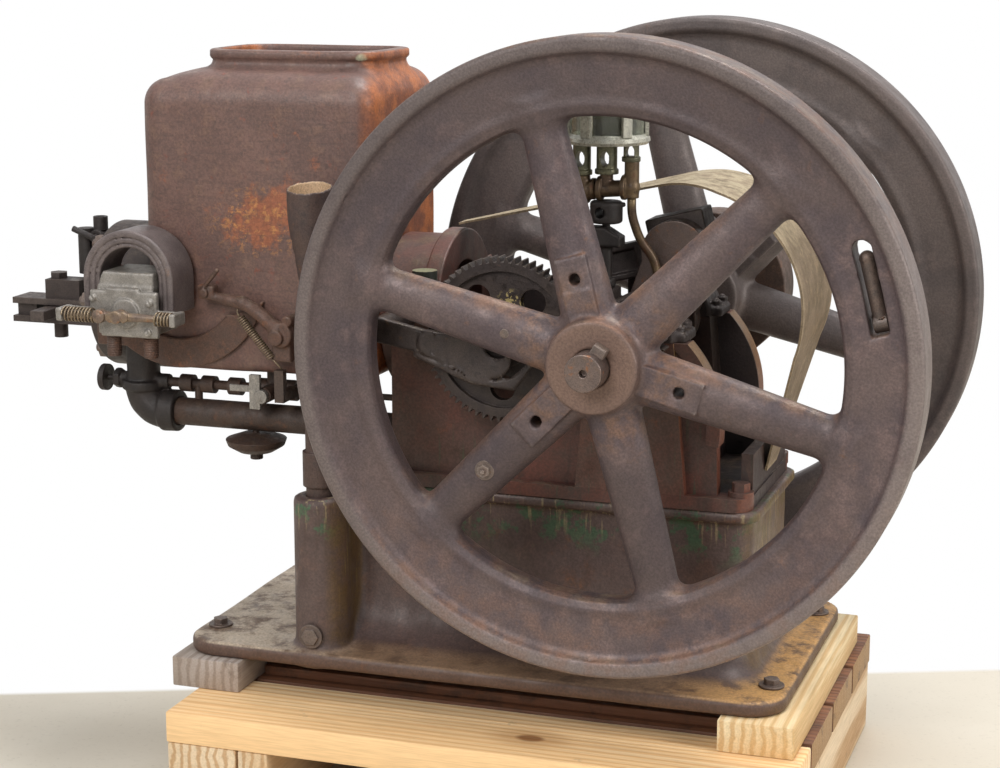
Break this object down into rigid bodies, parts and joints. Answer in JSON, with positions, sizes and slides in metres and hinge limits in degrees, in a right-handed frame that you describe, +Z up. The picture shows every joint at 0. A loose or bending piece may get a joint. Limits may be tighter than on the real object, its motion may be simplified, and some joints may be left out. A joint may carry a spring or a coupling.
{
  "type": "hit-and-miss engine",
  "caption": "Stationary hit-and-miss engine with an open water hopper, spoked flywheels, exposed timing gear and a magneto on the cylinder head, standing on timber bearers.",
  "frame": {"origin": "On the floor under the middle of the base plate: X is zero midway along the plate, Y on the cylinder's centre line, Z at the underside of the timber stand.", "axes": "+Z up; the crankshaft lies along Y, the cylinder and its head point to -X, the filler column and magneto are on the -Y side."},
  "size_m": [1.215, 0.6545, 0.928],
  "materials": {
    "stand_timber": "sawn",
    "painted_iron": "worn",
    "rusty_iron": "rusted",
    "bare_steel": "aged",
    "dark_iron": "oily",
    "pipe_iron": "rusted",
    "zinc": "dull",
    "brass": "tarnished",
    "nickel": "tarnished",
    "guard_sheet": "faded",
    "fibre": "worn",
    "spring_steel": "aged"
  },
  "bodies": {
    "engine_frame": {"pallet_stringers": "stand_timber", "pallet_deck": "stand_timber", "bearers": "stand_timber", "base_casting": "painted_iron", "base_bolts": "bare_steel", "filler_pipe": "pipe_iron", "crankcase_floor": "painted_iron", "crankcase_near": "painted_iron", "crankcase_far": "painted_iron", "cylinder": "painted_iron", "water_hopper": "painted_iron", "cylinder_head": "rusty_iron", "head_nuts": "dark_iron", "piston": "bare_steel", "cam_lever": "rusty_iron", "bearing_caps": "rusty_iron", "crank_guard": "guard_sheet", "oiler": "nickel", "oil_feeds": "brass", "oil_valve": "dark_iron", "rocker_bracket": "dark_iron", "priming_cup": "dark_iron", "intake_elbow": "dark_iron", "intake_pipe": "pipe_iron", "fuel_line": "pipe_iron", "magneto_bracket": "rusty_iron", "magnets": "rusty_iron", "magneto_housing": "zinc", "magneto_springs": "spring_steel", "trip_arm": "rusty_iron", "trip_spring": "spring_steel"},
    "crank": {"crankshaft": "bare_steel", "crank_pinion": "bare_steel", "flywheel_near": "rusty_iron", "flywheel_far": "rusty_iron", "belt_pulley": "fibre"},
    "rod": {"connecting_rod": "dark_iron"},
    "half_time_gear": {"timing_gear": "rusty_iron"},
    "folding_handle": {"starting_handle": "bare_steel"},
    "magneto_oscillator": {"magneto_rotor": "zinc"},
    "valve_pushrod": {"pushrod": "bare_steel"},
    "rocker": {"rocker_arm": "dark_iron"},
    "cock_handle": {"priming_handle": "dark_iron"},
    "mixture_needle": {"needle_valve": "dark_iron"},
    "air_disc": {"air_valve": "pipe_iron"},
    "fuel_cock_lever": {"fuel_lever": "zinc"}
  },
  "joints": [
    {"name": "crank_spin", "type": "hinge", "parent": "engine_frame", "child": "crank", "pos_m": [0.1715, 0, 0.573], "axis": [0, 1, 0], "continuous": true},
    {"name": "timing_gear_spin", "type": "hinge", "parent": "engine_frame", "child": "half_time_gear", "pos_m": [0.02978, -0.16, 0.573], "axis": [0, 1, 0], "continuous": true},
    {"name": "rod_swing", "type": "hinge", "parent": "crank", "child": "rod", "pos_m": [0.20308, 0, 0.66472], "axis": [0, 1, 0], "continuous": true},
    {"name": "handle_fold", "type": "hinge", "parent": "crank", "child": "folding_handle", "pos_m": [0.47544, -0.2465, 0.63332], "axis": [0.9703, 0, 0.2419], "range_deg": [0, 90]},
    {"name": "magneto_rock", "type": "hinge", "parent": "engine_frame", "child": "magneto_oscillator", "pos_m": [-0.4425, -0.196, 0.581], "axis": [0, 1, 0], "range_deg": [-15, 15], "stiffness_Nm_per_rad": 2},
    {"name": "pushrod_slide", "type": "slide", "parent": "engine_frame", "child": "valve_pushrod", "axis": [-1, 0, 0], "range_m": [0, 0.008]},
    {"name": "rocker_swing", "type": "hinge", "parent": "engine_frame", "child": "rocker", "pos_m": [-0.6305, -0.02, 0.549], "axis": [0, 0, 1], "range_deg": [0, 3.2]},
    {"name": "priming_cock_turn", "type": "hinge", "parent": "engine_frame", "child": "cock_handle", "pos_m": [-0.5775, 0, 0.645], "axis": [0, 1, 0], "range_deg": [0, 90]},
    {"name": "needle_valve_turn", "type": "hinge", "parent": "engine_frame", "child": "mixture_needle", "pos_m": [-0.4795, -0.08, 0.476], "axis": [1, 0, 0], "range_deg": [0, 540]},
    {"name": "air_valve_turn", "type": "hinge", "parent": "engine_frame", "child": "air_disc", "pos_m": [-0.3245, -0.08, 0.403], "axis": [0, 0, 1], "range_deg": [0, 360]},
    {"name": "fuel_cock_turn", "type": "hinge", "parent": "engine_frame", "child": "fuel_cock_lever", "pos_m": [-0.2945, -0.08, 0.476], "axis": [0, -1, 0], "range_deg": [0, 90]}
  ],
  "couplings": [
    {"joint": "timing_gear_spin", "follows": "crank_spin", "ratio": -0.5},
    {"joint": "rod_swing", "follows": "crank_spin", "ratio": -1},
    {"joint": "rocker_swing", "follows": "pushrod_slide", "rad_per_m": 6.329}
  ]
}
